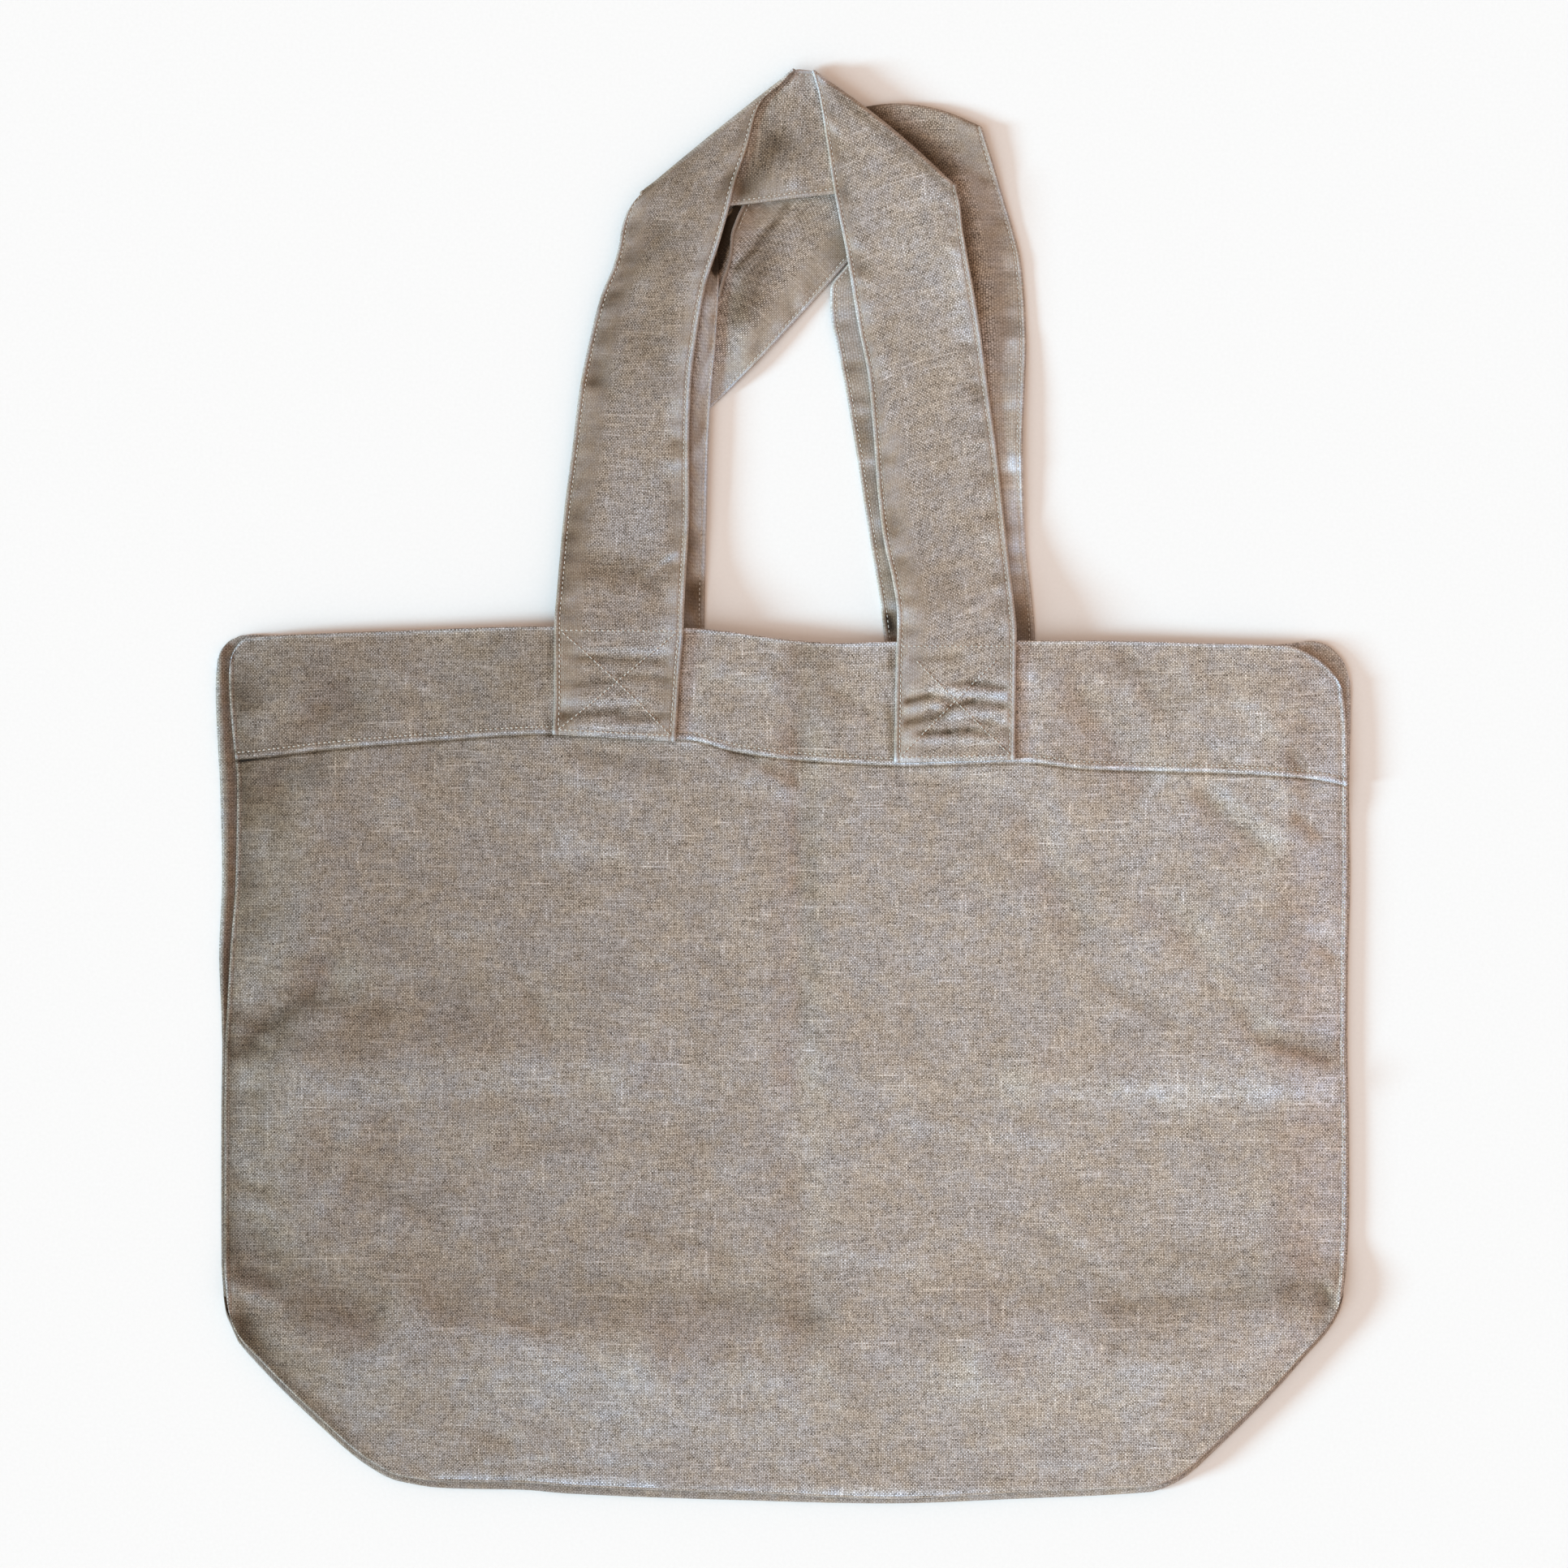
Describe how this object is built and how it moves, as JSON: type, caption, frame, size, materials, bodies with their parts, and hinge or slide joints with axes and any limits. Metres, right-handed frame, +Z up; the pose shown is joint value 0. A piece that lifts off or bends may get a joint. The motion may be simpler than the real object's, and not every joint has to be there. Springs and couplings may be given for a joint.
{
  "type": "linen tote bag",
  "caption": "Linen tote bag lying flat, face up, with a boxed bottom folded flat, a turned-over mouth hem and wide stitched strap handles folded above the mouth.",
  "frame": {"origin": "centre of the bag's outline on the surface it lies on", "axes": "+Y from the bottom of the bag to the top of the handles, +Z up from the surface, +X to the right seen from above"},
  "size_m": [0.503, 0.6357, 0.013],
  "materials": {
    "back_panel_linen": "matte",
    "front_panel_linen": "matte",
    "handle_back_linen": "matte",
    "handle_front_linen": "matte"
  },
  "bodies": {
    "root": {"back_panel": "back_panel_linen", "front_panel": "front_panel_linen", "handle_back": "handle_back_linen", "handle_front": "handle_front_linen"}
  },
  "joints": []
}
